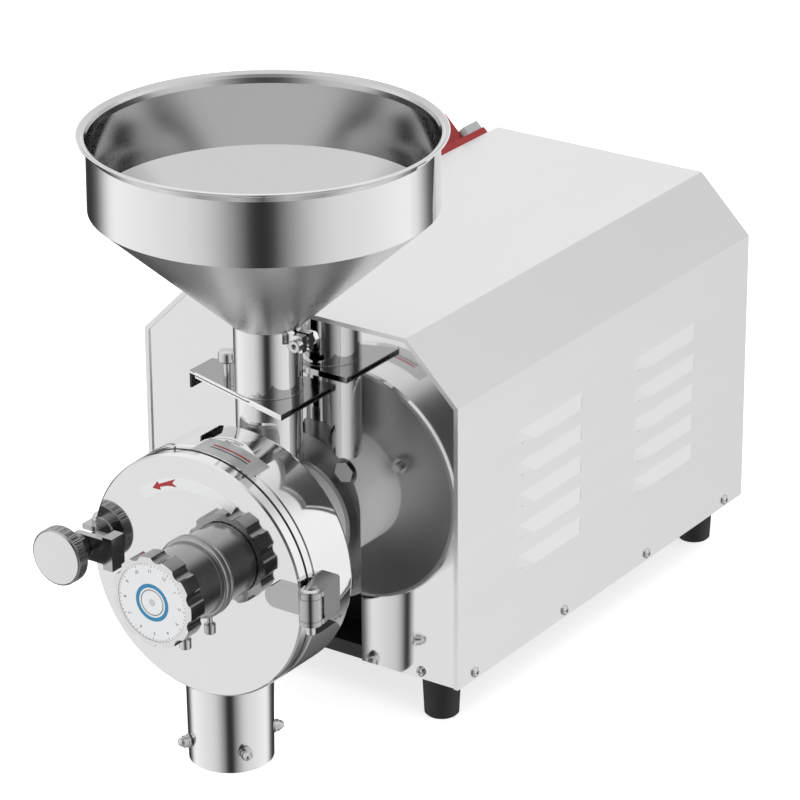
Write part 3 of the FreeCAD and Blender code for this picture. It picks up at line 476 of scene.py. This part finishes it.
def dial_face():
    low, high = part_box("dial_plate")
    middle, edge, y = (low + high) / 2, (high.x - low.x) / 2, low.y
    for index in range(60):
        inner = edge - (2.2 * MM if index % 5 == 0 else 1.3 * MM)
        a = index * 6
        add_band("dial_mark_%02d" % index, middle, y, PRINT, inner, edge - 0.5 * MM, a - 0.45, a + 0.45,
                 finishes["ink_grey"], "dial")
    # The dial is drawn turned by nearly one hour, as it stands on the object.
    for hour in range(1, 13):
        a = hour * 30 + 27
        spot = clock(edge - 5 * MM, a, middle, y - PRINT)
        add_text("dial_number_%02d" % hour, str(hour), 3.2 * MM, spot, math.radians(a),
                 finishes["ink_grey"], "dial")
    add_band("dial_ring", middle, y, RING_PRINT, 10.2 * MM, 12.8 * MM, 0, 360, finishes["ink_blue"], "dial")
    add_band("dial_ring_line", middle, y, RING_PRINT, 8.3 * MM, 8.9 * MM, 0, 360, finishes["ink_grey"],
             "dial")


def cover_sticker():
    """An arc of film on the cover, with an arrow that shows which way the mill turns."""
    low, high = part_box("front_cover")
    middle, y = (low + high) / 2, low.y
    add_band("arrow_band", middle, y, STICKER, 59 * MM, 67 * MM, -42, 30, finishes["film"], "cover")
    mid, head, neck, waist, tail = 63 * MM, -31.5, -25.5, -19, -12.5
    shape = [(mid, head), (mid + 3 * MM, neck - 0.4), (mid + 1.1 * MM, neck), (mid + 1.6 * MM, waist),
             (mid + 3 * MM, tail), (mid + 0.2 * MM, tail - 3), (mid - 2.4 * MM, tail),
             (mid - 1.2 * MM, waist), (mid - 0.9 * MM, neck), (mid - 3 * MM, neck - 0.4)]
    front = [clock(r, a, middle, y - STICKER - 0.1 * MM) for r, a in shape]
    back = [clock(r, a, middle, y - STICKER) for r, a in shape]
    count = len(shape)
    faces = [tuple(range(count)), tuple(range(count, 2 * count))]
    faces += [(i, (i + 1) % count, count + (i + 1) % count, count + i) for i in range(count)]
    add_mesh("arrow_mark", front + back, faces, finishes["ink_red"], "cover")


def bent_label(name, node, start, end, y_low, y_high, lift, thick, finish, body):
    """A label bent round the top of a drum whose axis runs along Y."""
    low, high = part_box(node)
    middle, radius = (low + high) / 2, (high.z - low.z) / 2 + lift
    steps = 12
    points = []
    for i in range(steps + 1):
        a = start + (end - start) * i / steps
        for r, y in ((radius, y_low), (radius, y_high), (radius + thick, y_high), (radius + thick, y_low)):
            points.append(clock(r, a, middle, y))
    return add_mesh(name, points, strip_faces(steps) + end_faces(steps), finish, body)


def drum_label():
    low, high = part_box("drum_body")
    front = low.y + 1 * MM
    bent_label("drum_label", "drum_body", -6, 27, front, front + 20 * MM, 0, LABEL, finishes["label"], "root")
    for name, back, wide, ink in (("drum_label_stripe", 11 * MM, 1.6 * MM, "ink_red"),
                                  ("drum_label_bar", 8 * MM, 1 * MM, "ink_black")):
        bent_label(name, "drum_body", 0, 20, front + back, front + back + wide, LABEL, 0.03 * MM,
                   finishes[ink], "root")


def add_knurl(name, middle, radius, y_low, y_high, count, height, finish, body):
    """Fine straight ridges round a knob whose axis runs along Y."""
    points, faces = [], []
    half = 180 / count
    for i in range(count):
        a = 2 * half * i
        for y in (y_low, y_high):
            for turn, reach in ((a - half, radius), (a, radius + height), (a + half, radius),
                                (a, radius - height)):
                points.append(clock(reach, turn, middle, y))
        start = i * 8
        faces += [(start, start + 1, start + 2, start + 3), (start + 4, start + 5, start + 6, start + 7)]
        faces += [(start + j, start + (j + 1) % 4, start + 4 + (j + 1) % 4, start + 4 + j) for j in range(4)]
    return add_mesh(name, points, faces, finish, body)


def knurls():
    low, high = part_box("clamp_knob")
    middle, height = (low + high) / 2, 0.25 * MM
    ridges = add_knurl("clamp_knurl", middle, (high.x - low.x) / 2 - height, low.y + 1.2 * MM,
                       low.y + 9.5 * MM, 90, height, materials["steel_turned"], "clamp_handwheel")


def welds():
    low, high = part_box("hopper")
    middle = (low + high) / 2
    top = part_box("gate_plate")[1].z + 1.6 * MM
    bead = add_torus("weld_upper_plate", (middle.x, middle.y, top), (0, 0, 1), 22.5 * MM, 0.4 * MM,
                     materials["steel_cast"], "root")


make_camera()
studio_light()
materials = make_materials()
finishes = make_finishes()
finish_nodes()
finish_faces()
soften_edges()
# The feet stand on a bench at z = 0; the outlet hangs past its edge, just clear of the floor slab.
floor_top = cad_box[0].z - 0.2 * MM
stage_slab("bench", (-0.9, -0.2, floor_top), (0.9, 1.2, 0), finishes["floor"])
stage_slab("floor", (-3, -3, floor_top - 9.8 * MM), (3, 3, floor_top), finishes["floor"])
dial_face()
cover_sticker()
drum_label()
knurls()
welds()
